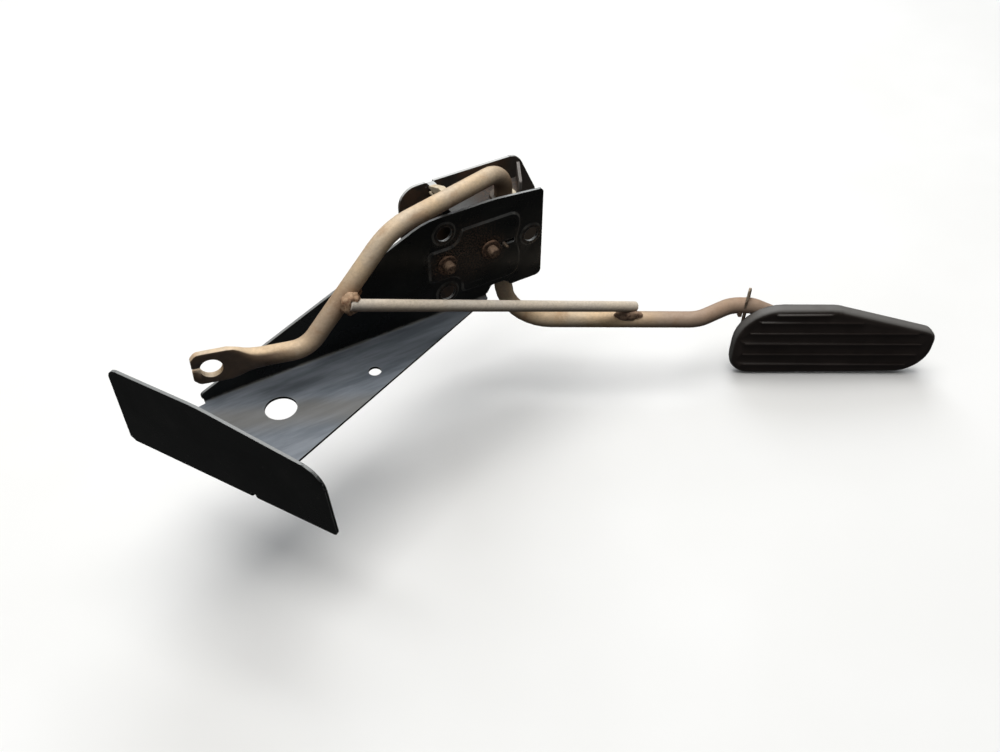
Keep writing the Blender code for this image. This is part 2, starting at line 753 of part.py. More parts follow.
def make_rod():
    """The pedal rod: slotted eye, cranked upper arm, axle and lower arm in one piece."""
    tip = EYE - EYE_LINE * EYE_END
    corners = [
        (EYE + EYE_LINE * 30.0, 0),
        (RAMP_FOOT, 17.0),
        (RAMP_TOP, 31.0),
        (ARM_END, 12.0),
        *LOWER_CORNERS,
    ]
    line = path(corners)
    half_t = EYE_THICK / 2
    half_h = EYE_HEIGHT / 2
    stations = [
        (0.0, half_t - 0.4, half_h - 3.2, 0.3),
        (0.5, half_t, half_h - 2.6, 0.2),
        (2.0, half_t, half_h - 0.9, 0.2),
        (3.4, half_t, half_h - 0.1, 0.2),
        (6.0, half_t, half_h, 0.2),
        (10.4, half_t, half_h, 0.2),
        (18.0, half_t, half_h, 0.2),
        (20.8, half_t + 0.15, half_h - 0.5, 0.4),
        (23.4, half_t + 0.7, half_h - 1.5, 0.5),
        (26.0, half_t + 1.6, half_h - 2.8, 0.65),
        (28.7, half_t + 2.5, half_h - 3.8, 0.8),
        (31.5, ROD_R - 0.2, ROD_R + 0.3, 0.95),
        (35.0, ROD_R, ROD_R, 1.0),
    ]
    points, sizes, powers = [], [], []
    for distance, width, height, power in stations:
        points.append(tip + EYE_LINE * distance)
        sizes.append((min(width, ROD_R), height))
        powers.append(power)
    rest = line[:-1] + [line[-1] - (line[-1] - line[-2]).normalized() * 0.8, line[-1]]
    points += rest
    sizes += [(ROD_R, ROD_R)] * (len(rest) - 1) + [(ROD_R - 0.8, ROD_R - 0.8)]
    powers += [1.0] * len(rest)
    rod = finish("pedal_rod", sweep(points, sizes, Z_AXIS, 24, powers), ROD_STEEL)

    side = Z_AXIS.cross(EYE_LINE).normalized()
    up = EYE_LINE.cross(side).normalized()
    radius = EYE_HOLE_D / 2
    reach = radius + 20.0
    half = EYE_SLOT / 2
    lean = math.asin(half / radius)
    keyhole = arc((0, 0), radius, math.pi - lean, -math.pi + lean, 26)
    keyhole += [(-reach, -half), (-reach, half)]

    def on_eye(x, z):
        return EYE + EYE_LINE * x + up * z - side * 15.0

    cutter = finish("eye_keyhole_cutter", prism(keyhole, on_eye, side * 30.0), None)
    boolean(rod, cutter, "DIFFERENCE")


def rod_clearance(name, points, radius, swell=0.2):
    """A cutter that keeps a weld bead clear of a rod."""
    size = radius + swell
    return finish(name, sweep(points, [(size, size)] * len(points), Z_AXIS, 24), None)


def make_brace():
    """The straight brace across the bend, with its weld beads."""
    spread = ROD_R + BRACE_R + GAP
    ramp = (RAMP_TOP - RAMP_FOOT).normalized()
    upper = RAMP_FOOT + ramp * BRACE_UP
    lower = ARM_FOOT + ALONG * BRACE_OUT
    lean = (BACK * 0.26 + Z_AXIS * 0.966).normalized()
    right = lower + lean * spread
    left = upper.copy()
    for _ in range(12):
        normal = (right - left).cross(ramp).normalized()
        if normal.y > 0:
            normal = -normal
        left = upper + normal * spread
    line = (right - left).normalized()
    points = [left.lerp(right, t) for t in spaced(0, 1, 8)]
    round_rod("brace_rod", points, BRACE_R, BRACE_STEEL, 20, 0.5)

    brace_tool = rod_clearance("brace_cutter", [left - line * 0.2, right + line * 0.2], BRACE_R)
    ramp_tool = rod_clearance("ramp_cutter", [upper - ramp * 16, upper + ramp * 16], ROD_R)
    lower_tool = rod_clearance("lower_arm_cutter", [lower - ALONG * 22, lower + ALONG * 22], ROD_R)
    out = (left - upper).normalized()
    across = line.cross(out).normalized()
    centre = upper + out * (ROD_R + 1.6) + line * 1.6
    radii = (5.6, 4.6, 6.2)
    bead("upper_brace_weld", centre, (line, out, across), radii, (brace_tool, ramp_tool), WELD_STEEL)
    front = -BACK
    centre = lower.lerp(right, 0.52) + front * 3.0 - ALONG * 4.6
    radii = (9.0, 3.0, 4.4)
    bead("lower_brace_weld", centre, (ALONG, front, Z_AXIS), radii, (brace_tool, lower_tool), WELD_STEEL)
    side = ramp.cross(out).normalized()
    if side.x < 0:
        side = -side
    nub = upper + side * (ROD_R + 0.4) + out * 1.0 + ramp * 6.5
    bead("upper_brace_tack", nub, (ramp, out, side), (2.3, 1.8, 1.7), (brace_tool, ramp_tool), WELD_STEEL)


def make_bushes():
    bore = ROD_R + RUNNING
    barrel = ROD_R + BUSH_WALL
    rim = barrel + BUSH_FLANGE
    up = EAR_TOP + GAP
    upper = [
        (bore, EAR_UNDER - 0.8),
        (barrel, EAR_UNDER - 0.8),
        (barrel, up),
        (rim, up),
        (rim, up + BUSH_RIM - 0.3),
        (rim - 0.3, up + BUSH_RIM),
        (bore, up + BUSH_RIM),
    ]
    finish("upper_bush", ring(AXLE, Z_AXIS, upper), NYLON)
    low = CHANNEL_LOW - GAP
    lower = [
        (bore, EAR_FLOOR + 0.8),
        (barrel, EAR_FLOOR + 0.8),
        (barrel, low),
        (rim - 0.3, low),
        (rim - 0.3, low - BUSH_RIM),
        (bore, low - BUSH_RIM),
    ]
    finish("lower_bush", ring(AXLE, Z_AXIS, lower), NYLON)


def make_spring():
    """Torsion spring round the axle: one leg through the wall, the other behind the lower arm."""
    leave = SPRING_LEAVE
    slip = math.acos(SPRING_R / SPRING_EXIT_R)
    final = leave + slip
    total = math.pi - final + TAU * SPRING_TURNS
    bottom_z = EAR_FLOOR + WIRE_R + 2.6
    drop = SPRING_LEG_Z - bottom_z
    start = Vector((AXLE_X - SPRING_R, -PLATEAU_RISE - 4.2, SPRING_LEG_Z))
    points = [start, start + Vector((0, 1.5, 0)), Vector((start.x, AXLE_Y - 4.0, start.z))]
    steps = 20 * SPRING_TURNS
    for i in range(steps + 1):
        angle = math.pi - total * i / steps
        height = SPRING_LEG_Z - drop * i / steps
        spoke = Vector((math.cos(angle), math.sin(angle), 0)) * SPRING_R
        points.append(AXLE + spoke + Z_AXIS * height)
    out = AXLE + Vector((math.cos(leave), math.sin(leave), 0)) * SPRING_EXIT_R
    corner = out + Z_AXIS * bottom_z
    low = corner - Z_AXIS * (bottom_z - CHANNEL_LOW + 6.0)
    hook_z = LOWER_Z + 11.0
    drop_angle = math.asin(1 - (hook_z - LOWER_Z) / LOWER_BEND_R)
    hook_s = LOWER_BEND_R * (1 - math.cos(drop_angle))
    hook = AXLE + ALONG * hook_s + BACK * (ROD_R + WIRE_R + GAP + 0.1) + Z_AXIS * hook_z
    toe = hook - Z_AXIS * 4.5
    tail = path([(points[-1], 0), (corner, 1.8), (low, 5.0), (hook, 4.0), (toe, 0)], math.radians(22))
    points += tail[1:]
    sizes = [(WIRE_R, WIRE_R)] * len(points)
    finish("return_spring", sweep(points, sizes, Z_AXIS, 8), SPRING_STEEL)


def make_rivets():
    grip = BASE_Y
    for name, rivet in zip(("left", "right"), RIVETS):
        face = -PLATEAU_RISE - GAP - WASHER_T
        radius = RIVET_D / 2
        profile = [
            (radius - 0.9, face - RIVET_STUB),
            (radius, face - RIVET_STUB + 0.7),
            (radius, grip + GAP),
            (radius + 1.6, grip + GAP),
            (radius + 1.6, grip + GAP + 0.8),
            (radius + 0.4, grip + GAP + 1.7),
        ]
        finish(f"channel_rivet_{name}", turned(rivet, Y_AXIS, profile), RIVET_STEEL)
        washer = [
            (radius + 0.15, face),
            (WASHER_D / 2 - 0.4, face),
            (WASHER_D / 2, face + 0.4),
            (WASHER_D / 2, face + WASHER_T),
            (radius + 0.15, face + WASHER_T),
        ]
        finish(f"rivet_washer_{name}", ring(rivet, Y_AXIS, washer), WASHER_STEEL)


def make_stop_pad():
    """A nylon sleeve pushed over the stop tab, with its front face just behind the upper arm."""
    middle = (SLEEVE_LEFT + SLEEVE_RIGHT) / 2
    slant = ARM_SLOPE * (SLEEVE_RIGHT - SLEEVE_LEFT) / 2
    front = arm_y(middle) + (ROD_R + GAP) * math.hypot(1, ARM_SLOPE) + slant
    low = TAB_UNDER - GAP - SLEEVE_WALL
    shoulder = TAB_UNDER + SHEET + GAP + SLEEVE_WALL
    high = max(shoulder, ARM_Z + 0.8)
    rear = TAB_END_Y + 7.5
    face = TAB_END_Y - GAP
    profile = [
        (front, low),
        (rear, low),
        (rear, TAB_UNDER - GAP),
        (face, TAB_UNDER - GAP),
        (face, TAB_UNDER + SHEET + GAP),
        (rear, TAB_UNDER + SHEET + GAP),
        (rear, shoulder),
        (front + 3.4, high),
        (front, high),
    ]
    width = X_AXIS * (SLEEVE_RIGHT - SLEEVE_LEFT)
    pad = finish("idle_stop_pad", prism(profile, lambda y, z: Vector((SLEEVE_LEFT, y, z)), width), NYLON)
    bevel = pad.modifiers.new("soft_edges", "BEVEL")
    bevel.width = 0.25 * MM
    bevel.segments = 2
    bevel.limit_method = "ANGLE"


PAD_Z = LOWER_Z + PAD_TOP
PLATE_BACK = JOG - ROD_R - GAP
PLATE_FRONT = PLATE_BACK - PLATE_T


def on_pad(s, z, n):
    return Vector((AXLE_X, AXLE_Y, 0)) + ALONG * s + BACK * n + Z_AXIS * z


def pad_outline(inset):
    """The pad's outline, from its left top corner round to its left bottom corner."""
    start = PAD_START + inset
    end = PAD_START + PAD_LENGTH - inset
    top = PAD_Z - inset
    bottom = PAD_Z - PAD_HEIGHT + inset
    shoulder = PAD_START + PAD_LENGTH * PAD_SHOULDER - inset * 0.14
    nose_z = top - (end - shoulder) * PAD_NOSE_DROP / (PAD_LENGTH * (1 - PAD_SHOULDER))
    return rounded(
        [
            (start, top, 28 - inset),
            (shoulder, top, 26),
            (end, nose_z, 9 - inset * 0.5),
            (end, bottom + 1.2, 20 - inset * 0.6),
            (start, bottom - 0.4, 14 - inset * 0.5),
        ],
        pieces=9,
    )


def layered(levels):
    """A solid from (outline, n) layers that all have the same number of points."""
    bm = bmesh.new()
    loops = [[bm.verts.new(on_pad(s, z, n)) for s, z in outline] for outline, n in levels]
    for loop, after in zip(loops, loops[1:]):
        count = len(loop)
        for i in range(count):
            j = (i + 1) % count
            bm.faces.new((loop[i], loop[j], after[j], after[i]))
    bm.faces.new(list(reversed(loops[0])))
    bm.faces.new(loops[-1])
    bmesh.ops.recalc_face_normals(bm, faces=bm.faces)
    return bm


def chord(outline, z):
    """The span of the outline at a height."""
    found = []
    for (ax, ay), (bx, by) in zip(outline, outline[1:] + outline[:1]):
        if (ay > z) != (by > z):
            found.append(ax + (bx - ax) * (z - ay) / (by - ay))
    return min(found), max(found)


def make_pad():
    """The rubber pad: a thin-edged cushion with a rim round the backing plate and ribs on its front."""
    back = PLATE_FRONT - GAP
    front = back - PAD_THICK + PAD_RIB_RISE
    wrap = PLATE_BACK
    levels = [
        (pad_outline(2.4), front),
        (pad_outline(1.2), front + 0.35),
        (pad_outline(0.4), front + 1.1),
        (pad_outline(0.0), front + 2.2),
        (pad_outline(0.2), back),
        (pad_outline(0.6), wrap),
    ]
    pad = finish("pedal_pad", layered(levels), RUBBER, 40)
    pocket = [
        (pad_outline(PAD_RIM), back),
        (pad_outline(PAD_RIM), wrap + 6.0),
    ]
    boolean(pad, finish("pad_pocket_cutter", layered(pocket), None), "DIFFERENCE")

    ribs = bmesh.new()
    outline = pad_outline(1.0)
    half = 0.55
    base = 1.15
    for i in range(PAD_RIBS):
        z = PAD_Z - PAD_RIB_FIRST - PAD_RIB_PITCH * i + (PAD_RIB_CROWD if i else 0)
        low, high = chord(outline, z)
        n0 = front + 0.8
        n1 = front - PAD_RIB_RISE
        a = low + 6.5
        b = high - (14.0 if i < 2 else 7.5)
        low_side = [(a - 1, z - base), (b + 1, z - base), (b + 1, z + base), (a - 1, z + base)]
        top_side = [(a, z - half), (b, z - half), (b, z + half), (a, z + half)]
        low_loop = [ribs.verts.new(on_pad(*p, n0)) for p in low_side]
        top_loop = [ribs.verts.new(on_pad(*p, n1)) for p in top_side]
        for k in range(4):
            j = (k + 1) % 4
            ribs.faces.new((low_loop[k], low_loop[j], top_loop[j], top_loop[k]))
        ribs.faces.new(list(reversed(low_loop)))
        ribs.faces.new(top_loop)
    bmesh.ops.recalc_face_normals(ribs, faces=ribs.faces)
    boolean(pad, finish("pad_rib_tool", ribs, None), "UNION")


EAR_S = PAD_START + EAR_INSET + (JOG - PLATE_BACK) * EAR_LEAN


def ear_s(n):
    """Where the ear's left face is at a depth: it leans away from the driver's left."""
    return EAR_S + (n - JOG) * EAR_LEAN


def make_backing_plate():
    """The steel plate in the pad's back, with a turned-back ear that the rod goes through."""
    outline = pad_outline(PAD_RIM + GAP + 0.2)
    levels = [(outline, PLATE_FRONT), (outline, PLATE_BACK)]
    plate = finish("pad_backing_plate", layered(levels), PLATE_STEEL)
    clear = PLATE_BACK + GAP
    rear = JOG + 7.5
    tip = LOWER_Z + 13.0
    root = LOWER_Z - 28.0
    profile = rounded(
        [
            (PLATE_FRONT + 0.3, root, 0),
            (clear + 2.0, root, 2.0),
            (rear, LOWER_Z - 12.0, 8.0),
            (rear, LOWER_Z + 6.0, 5.0),
            (JOG + 1.0, tip, 1.0),
            (JOG - 2.0, tip, 1.0),
            (clear, LOWER_Z + 6.0, 2.0),
            (clear, LOWER_Z - 17.0, 0),
            (PLATE_FRONT + 0.3, LOWER_Z - 17.0, 0),
        ]
    )

    def on_ear(n, z):
        return on_pad(ear_s(n), z, n)

    ear = finish("pad_ear_tool", prism(profile, on_ear, ALONG * PLATE_T), None)
    boolean(plate, ear, "UNION")
    centre = on_pad(EAR_S - 5.0, LOWER_Z, JOG)
    bore = turned(centre, ALONG, [(ROD_R + GAP, 0), (ROD_R + GAP, 12.0)], 28)
    boolean(plate, finish("pad_ear_bore_cutter", bore, None), "DIFFERENCE")


def make_pad_welds():
    """The small bead at the ear and the bead that holds the rod's end to the backing plate."""
    line = path(LOWER_CORNERS)
    tool = rod_clearance("rod_end_cutter", line[-40:], ROD_R)
    block = [
        (PLATE_BACK + GAP, ear_s(PLATE_BACK + GAP) - GAP),
        (JOG + 12, ear_s(JOG + 12) - GAP),
        (JOG + 12, EAR_S + 24),
        (PLATE_BACK + GAP, EAR_S + 24),
    ]
    low = on_pad(0, LOWER_Z - 14, 0)
    ear_tool = finish(
        "ear_side_cutter",
        prism(block, lambda n, s: low + ALONG * s + BACK * n, Z_AXIS * 28),
        None,
    )
    floor = [(PAD_START - 9, PAD_Z), (PAD_START - 9, PAD_Z - PAD_HEIGHT)]
    floor += [(PAD_START + 80, PAD_Z - PAD_HEIGHT), (PAD_START + 80, PAD_Z)]
    floor_levels = [(floor, JOG - 15), (floor, PLATE_BACK + GAP)]
    floor_tool = finish("pad_floor_cutter", layered(floor_levels), None)

    centre = on_pad(EAR_S - 3.0, LOWER_Z - 2.6, JOG - 4.6)
    cutters = (tool, ear_tool, floor_tool)
    bead("pad_ear_weld", centre, (ALONG, BACK, Z_AXIS), (2.6, 1.9, 3.0), cutters, WELD_STEEL)

    fall = (ROD_END - DIP).normalized()
    across = fall.cross(BACK).normalized()
    centre = DIP + fall * 24.0 - BACK * (ROD_R - 0.6) + across * (ROD_R - 0.6)
    bead("rod_end_weld", centre, (fall, BACK, across), (8.0, 3.0, 3.2), (tool, floor_tool), WELD_STEEL)


PEDAL_PIECES = (
    "pedal_rod",
    "brace_rod",
    "upper_brace_weld",
    "upper_brace_tack",
    "lower_brace_weld",
    "pedal_pad",
    "pad_backing_plate",
    "pad_ear_weld",
    "rod_end_weld",
)


def hang_on_axle():
    """Parents every moving piece to an empty on the pivot axis."""
    pivot = bpy.data.objects.new("pedal_pivot", None)
    bpy.context.scene.collection.objects.link(pivot)
    pivot.location = place(AXLE + Z_AXIS * (EAR_FLOOR + EAR_UNDER) / 2)
    for name in PEDAL_PIECES:
        piece = bpy.data.objects[name]
        piece.parent = pivot
        piece.location = -pivot.location


make_bracket()
make_channel()
make_rear_plate()
make_rod()
make_brace()
make_bushes()
make_spring()
make_rivets()
make_stop_pad()
make_pad()
make_backing_plate()
make_pad_welds()
hang_on_axle()
bpy.context.view_layer.update()
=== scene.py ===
import json
import math

import bmesh
import bpy
from mathutils import Matrix, Vector, noise

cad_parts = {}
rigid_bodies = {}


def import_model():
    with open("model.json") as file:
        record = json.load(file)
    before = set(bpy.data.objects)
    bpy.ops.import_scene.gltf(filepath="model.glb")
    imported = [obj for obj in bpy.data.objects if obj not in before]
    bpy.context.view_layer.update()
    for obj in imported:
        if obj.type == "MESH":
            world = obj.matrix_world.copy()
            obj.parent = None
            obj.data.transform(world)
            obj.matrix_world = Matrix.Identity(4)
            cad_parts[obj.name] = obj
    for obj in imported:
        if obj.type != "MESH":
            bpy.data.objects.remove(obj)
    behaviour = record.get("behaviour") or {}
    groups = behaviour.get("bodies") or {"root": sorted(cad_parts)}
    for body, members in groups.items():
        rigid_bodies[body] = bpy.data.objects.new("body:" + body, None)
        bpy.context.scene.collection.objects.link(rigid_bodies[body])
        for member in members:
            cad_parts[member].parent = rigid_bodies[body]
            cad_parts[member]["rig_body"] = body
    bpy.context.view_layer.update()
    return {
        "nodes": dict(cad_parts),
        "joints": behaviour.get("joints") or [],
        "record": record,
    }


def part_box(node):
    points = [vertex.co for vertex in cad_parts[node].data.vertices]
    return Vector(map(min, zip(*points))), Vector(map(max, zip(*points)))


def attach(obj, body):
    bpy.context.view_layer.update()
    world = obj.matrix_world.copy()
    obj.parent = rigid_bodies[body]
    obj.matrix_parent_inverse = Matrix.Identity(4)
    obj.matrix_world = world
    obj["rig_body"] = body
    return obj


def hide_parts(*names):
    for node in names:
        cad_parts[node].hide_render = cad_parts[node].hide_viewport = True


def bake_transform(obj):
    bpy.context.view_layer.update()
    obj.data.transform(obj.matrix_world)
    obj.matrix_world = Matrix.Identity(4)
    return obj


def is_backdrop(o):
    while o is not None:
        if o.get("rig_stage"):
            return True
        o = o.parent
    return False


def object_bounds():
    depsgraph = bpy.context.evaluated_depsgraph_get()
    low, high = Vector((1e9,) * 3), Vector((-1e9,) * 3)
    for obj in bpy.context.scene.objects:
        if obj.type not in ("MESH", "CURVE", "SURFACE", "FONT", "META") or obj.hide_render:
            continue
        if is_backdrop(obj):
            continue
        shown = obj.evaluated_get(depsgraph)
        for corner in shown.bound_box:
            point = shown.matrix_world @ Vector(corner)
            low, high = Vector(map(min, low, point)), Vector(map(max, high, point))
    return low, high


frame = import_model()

MM = 0.001
BODY_OF = {node: piece["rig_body"] for node, piece in frame["nodes"].items()}
SLOT_OF = {part["node"]: part["material_slot"] for part in frame["record"]["subparts"]}
AXLE = Vector(frame["joints"][0]["pos_m"])


# ---------------------------------------------------------------- node helpers
class Look:
    """A procedural material, built one node at a time. A mask is a socket that goes from 0 to 1."""

    def __init__(self, name):
        self.material = bpy.data.materials.new(name)
        self.material.use_nodes = True
        self.tree = self.material.node_tree
        self.shader = self.tree.nodes["Principled BSDF"]
        self.coords = self.node("ShaderNodeTexCoord").outputs["Object"]
        geometry = self.node("ShaderNodeNewGeometry")
        self.facing = geometry.outputs["Normal"]
        self.flat_facing = geometry.outputs["True Normal"]

    def node(self, kind, **settings):
        made = self.tree.nodes.new(kind)
        for key, value in settings.items():
            setattr(made, key, value)
        return made

    def put(self, socket, value):
        if isinstance(value, bpy.types.NodeSocket):
            self.tree.links.new(value, socket)
        elif isinstance(value, tuple) and len(value) == 3 and socket.type == "RGBA":
            socket.default_value = (*value, 1.0)
        else:
            socket.default_value = value

    def math(self, operation, a, b=0.0, c=0.0, clamp=False):
        made = self.node("ShaderNodeMath", operation=operation, use_clamp=clamp)
        for socket, value in zip(made.inputs, (a, b, c)):
            self.put(socket, value)
        return made.outputs[0]

    def times(self, first, *others):
        """The masks multiplied together."""
        product = first
        for other in others:
            product = self.math("MULTIPLY", product, other)
        return product

    def most(self, first, *others):
        """The strongest of the masks."""
        highest = first
        for other in others:
            highest = self.math("MAXIMUM", highest, other)
        return highest

    def axis(self, vector, letter):
        made = self.node("ShaderNodeSeparateXYZ")
        self.put(made.inputs[0], vector)
        return made.outputs["XYZ".index(letter)]

    def dot(self, a, b):
        made = self.node("ShaderNodeVectorMath", operation="DOT_PRODUCT")
        self.put(made.inputs[0], a)
        self.put(made.inputs[1], b)
        return made.outputs["Value"]

    # Patterns
    def mapped(self, scale, angles=(0.0, 0.0, 0.0)):
        """The place on the object, turned and stretched, for a pattern with a grain."""
        made = self.node("ShaderNodeMapping")
        self.put(made.inputs["Vector"], self.coords)
        self.put(made.inputs["Rotation"], angles)
        self.put(made.inputs["Scale"], scale)
        return made.outputs[0]

    def noise(self, scale, detail=4.0, roughness=0.55, vector=None, distortion=0.0):
        made = self.node("ShaderNodeTexNoise")
        self.put(made.inputs["Vector"], vector or self.coords)
        self.put(made.inputs["Scale"], scale)
        self.put(made.inputs["Detail"], detail)
        self.put(made.inputs["Roughness"], roughness)
        self.put(made.inputs["Distortion"], distortion)
        return made.outputs["Fac"]

    def grain(self, detail, roughness, scale, angles=(0.0, 0.0, 0.0)):
        """Noise drawn out along one direction."""
        return self.noise(1.0, detail, roughness, self.mapped(scale, angles))

    def cells(self, scale):
        made = self.node("ShaderNodeTexVoronoi", feature="F1")
        self.put(made.inputs["Vector"], self.coords)
        self.put(made.inputs["Scale"], scale)
        return made.outputs["Distance"]

    # Masks
    def span(self, value, low, high, start=0.0, end=1.0):
        """Smoothly from start to end as value goes from low to high."""
        made = self.node("ShaderNodeMapRange", interpolation_type="SMOOTHSTEP")
        self.put(made.inputs["Value"], value)
        self.put(made.inputs["From Min"], low)
        self.put(made.inputs["From Max"], high)
        self.put(made.inputs["To Min"], start)
        self.put(made.inputs["To Max"], end)
        return made.outputs["Result"]

    def spread(self, pattern, start=0.0, end=1.0):
        """From start to end over the middle of a noise's range."""
        return self.span(pattern, 0.3, 0.7, start, end)

    def past(self, letter, start, end):
        """0 to 1 as the place's X, Y or Z goes from start to end, in millimetres."""
        return self.span(self.axis(self.coords, letter), start * MM, end * MM)

    def turned_to(self, letter, start, end):
        """0 to 1 as the smooth normal's X, Y or Z goes from start to end."""
        return self.span(self.axis(self.facing, letter), start, end)

    def flat_turned_to(self, letter, start, end):
        """The same for the flat normal of each face."""
        return self.span(self.axis(self.flat_facing, letter), start, end)

    def near(self, point, inner, outer, warp):
        """1 within inner of the point and 0 past outer, with a border as ragged as warp, in millimetres."""
        made = self.node("ShaderNodeVectorMath", operation="DISTANCE")
        self.put(made.inputs[0], self.coords)
        self.put(made.inputs[1], tuple(point))
        ragged = self.math("MULTIPLY_ADD", self.noise(420.0, 5.0, 0.6), warp * MM, made.outputs["Value"])
        distance = self.math("SUBTRACT", ragged, warp * MM * 0.5)
        return self.span(distance, inner * MM, outer * MM, 1.0, 0.0)

    def rounded(self, radius):
        """The normal with every edge rounded off to a radius, in millimetres."""
        soft = self.node("ShaderNodeBevel", samples=6)
        self.put(soft.inputs["Radius"], radius * MM)
        return soft.outputs[0]

    def edges(self, radius):
        """1 on edges and corners, 0 on flats."""
        return self.span(self.dot(self.rounded(radius), self.facing), 0.995, 0.82)

    # Results
    def blend(self, factor, a, b):
        made = self.node("ShaderNodeMix", data_type="RGBA")
        self.put(made.inputs["Factor"], factor)
        below, above = [s for s in made.inputs if s.type == "RGBA"]
        self.put(below, a)
        self.put(above, b)
        return [s for s in made.outputs if s.type == "RGBA"][0]

    def tint(self, base, mask, strength, colour):
        """The base with this colour laid over it, where the mask is and as strongly as that."""
        return self.blend(self.times(mask, strength), base, colour)

    def bump(self, height, strength, depth, below=None):
        """The normal below, roughened by a height pattern that is this many millimetres deep."""
        made = self.node("ShaderNodeBump")
        self.put(made.inputs["Height"], height)
        self.put(made.inputs["Strength"], strength)
        self.put(made.inputs["Distance"], depth * MM)
        if below is not None:
            self.put(made.inputs["Normal"], below)
        return made.outputs[0]

    def done(self, colour, roughness, normal=None, metallic=0.0, specular=0.5):
        self.put(self.shader.inputs["Base Color"], colour)
        self.put(self.shader.inputs["Roughness"], roughness)
        self.put(self.shader.inputs["Metallic"], metallic)
        self.put(self.shader.inputs["Specular IOR Level"], specular)
        if normal is not None:
            self.put(self.shader.inputs["Normal"], normal)
        return self.material


# --------------------------------------------------------------- bracket paint
WALL_FACE = -1.0 * MM
BOLTS = tuple(Vector(p) * MM for p in ((-18.4, 0, 19.7), (35.9, 0, 0.07), (-17.5, 0, -19.7)))


def rivet_head(node):
    low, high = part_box(node)
    centre = (low + high) / 2
    return Vector((centre.x, WALL_FACE, centre.z))


RIVETS = tuple(rivet_head("channel_rivet_" + side) for side in ("left", "right"))


def painted_web_reflection(look, cloud, streak):
    """A painted reflection on the web's glossy paint: streaked grey, with one brownish band across it, and
    darker towards its right.
    """
    blue_grey, pale_grey = (0.125, 0.145, 0.17), (0.22, 0.245, 0.28)
    brown_grey, deep_grey = (0.19, 0.178, 0.155), (0.06, 0.069, 0.079)
    grey = look.blend(look.span(streak, 0.34, 0.66), blue_grey, pale_grey)
    across = look.math("MULTIPLY_ADD", look.axis(look.coords, "X"), 0.42, look.axis(look.coords, "Y"))
    across = look.math("MULTIPLY_ADD", look.math("SUBTRACT", cloud, 0.5), 12 * MM, across)
    reflected_band = look.times(
        look.span(across, -98 * MM, -84 * MM),
        look.span(across, -68 * MM, -80 * MM),
    )
    grey = look.tint(grey, reflected_band, 0.6, brown_grey)
    return look.tint(grey, look.past("X", -95, 15), 0.55, deep_grey)


def wall_rust(look, wall):
    """Where the wall is rusty: round the rivets, a little round the bolt holes, and between them."""
    spots = [look.near(rivet, 4.0, 13.0, 9.0) for rivet in RIVETS]
    spots += [look.times(look.near(bolt, 4.6, 7.4, 3.0), 0.4) for bolt in BOLTS]
    spots.append(look.times(look.near(Vector((-3, 0, 3)) * MM, 6, 24, 12), 0.6))
    grains = look.span(look.noise(950.0, 4.0, 0.7), 0.44, 0.62)
    return look.times(look.most(*spots), wall, grains)


def paint_look():
    """Black stoving paint: dust, specks, fine scratches, rust on the wall, and painted light: a painted
    reflection on the web, a painted highlight on upward top edges, and paler edges and plateau flanks that
    are partly wear and partly painted highlight.
    """
    black, dusty_black = (0.0035, 0.0045, 0.004), (0.0085, 0.0095, 0.009)
    rubbed_and_highlit, top_highlight, worn_and_highlit = (0.12, 0.117, 0.108), (0.3, 0.31, 0.31), (0.3, 0.305, 0.3)
    dust_tone, speck_tone, scratch_tone = (0.06, 0.056, 0.05), (0.2, 0.18, 0.15), (0.11, 0.11, 0.11)
    dark_rust, light_rust = (0.085, 0.045, 0.026), (0.27, 0.165, 0.105)

    look = Look("black_paint")
    streak = look.grain(5.0, 0.6, (24.0, 170.0, 60.0), (0, 0, -0.35))
    cloud = look.noise(26.0, 5.0, 0.6)
    base = look.blend(look.span(cloud, 0.35, 0.7), black, dusty_black)

    up = look.flat_turned_to("Z", 0.5, 0.9)
    web = look.times(up, look.past("Z", -30, -31.5))
    # Painted reflection: the web's upward face is given a streaked grey in place of its gloss reflection.
    base = look.tint(base, web, 0.92, painted_web_reflection(look, cloud, streak))

    wall = look.times(look.flat_turned_to("Y", -0.3, -0.55), look.past("Y", -6, -4))
    # Paler plateau flanks: partly dust and wear, partly a painted highlight on the pressed outline.
    flank = look.times(wall, look.flat_turned_to("Y", -0.997, -0.96))
    flank = look.times(flank, look.span(look.noise(150.0), 0.3, 0.6))
    base = look.tint(base, flank, 0.8, rubbed_and_highlit)
    # Painted highlight on upward faces above the web, such as the top edges of the walls.
    base = look.tint(base, look.times(up, look.past("Z", -29, -26)), 0.85, top_highlight)

    dust = look.times(look.span(cloud, 0.45, 0.68), look.span(streak, 0.35, 0.75), 0.16)
    base = look.blend(dust, base, dust_tone)
    speck = look.times(
        look.span(look.cells(850.0), 0.17, 0.05),
        look.span(look.noise(60.0, 3.0), 0.48, 0.62),
    )
    base = look.tint(base, speck, 0.55, speck_tone)
    scratch = look.span(look.grain(3.0, 0.5, (30.0, 900.0, 400.0), (0.2, 0.5, 0.9)), 0.70, 0.76)
    base = look.tint(base, scratch, 0.3, scratch_tone)
    # Paler edges: partly worn paint, partly a painted highlight.
    edge_wear_and_highlight = look.times(look.edges(0.7), look.span(look.noise(120.0), 0.2, 0.55))
    base = look.tint(base, edge_wear_and_highlight, 0.8, worn_and_highlit)

    rust = wall_rust(look, wall)
    base = look.tint(base, rust, 0.8, look.blend(look.noise(600.0, 3.0), dark_rust, light_rust))

    rough = look.spread(look.noise(55.0, 5.0, 0.65), 0.22, 0.4)
    rough = look.math("MULTIPLY_ADD", look.most(dust, rust), 0.45, rough, clamp=True)
    rough = look.math("MULTIPLY_ADD", web, 0.08, rough, clamp=True)
    fine = look.bump(look.noise(1500.0, 3.0), 0.12, 0.05, look.rounded(0.4))
    ripple = look.bump(look.grain(3.0, 0.5, (60.0, 120.0, 60.0)), 0.25, 0.2, fine)
    return look.done(base, rough, look.bump(rust, 0.5, 0.15, ripple), specular=0.32)


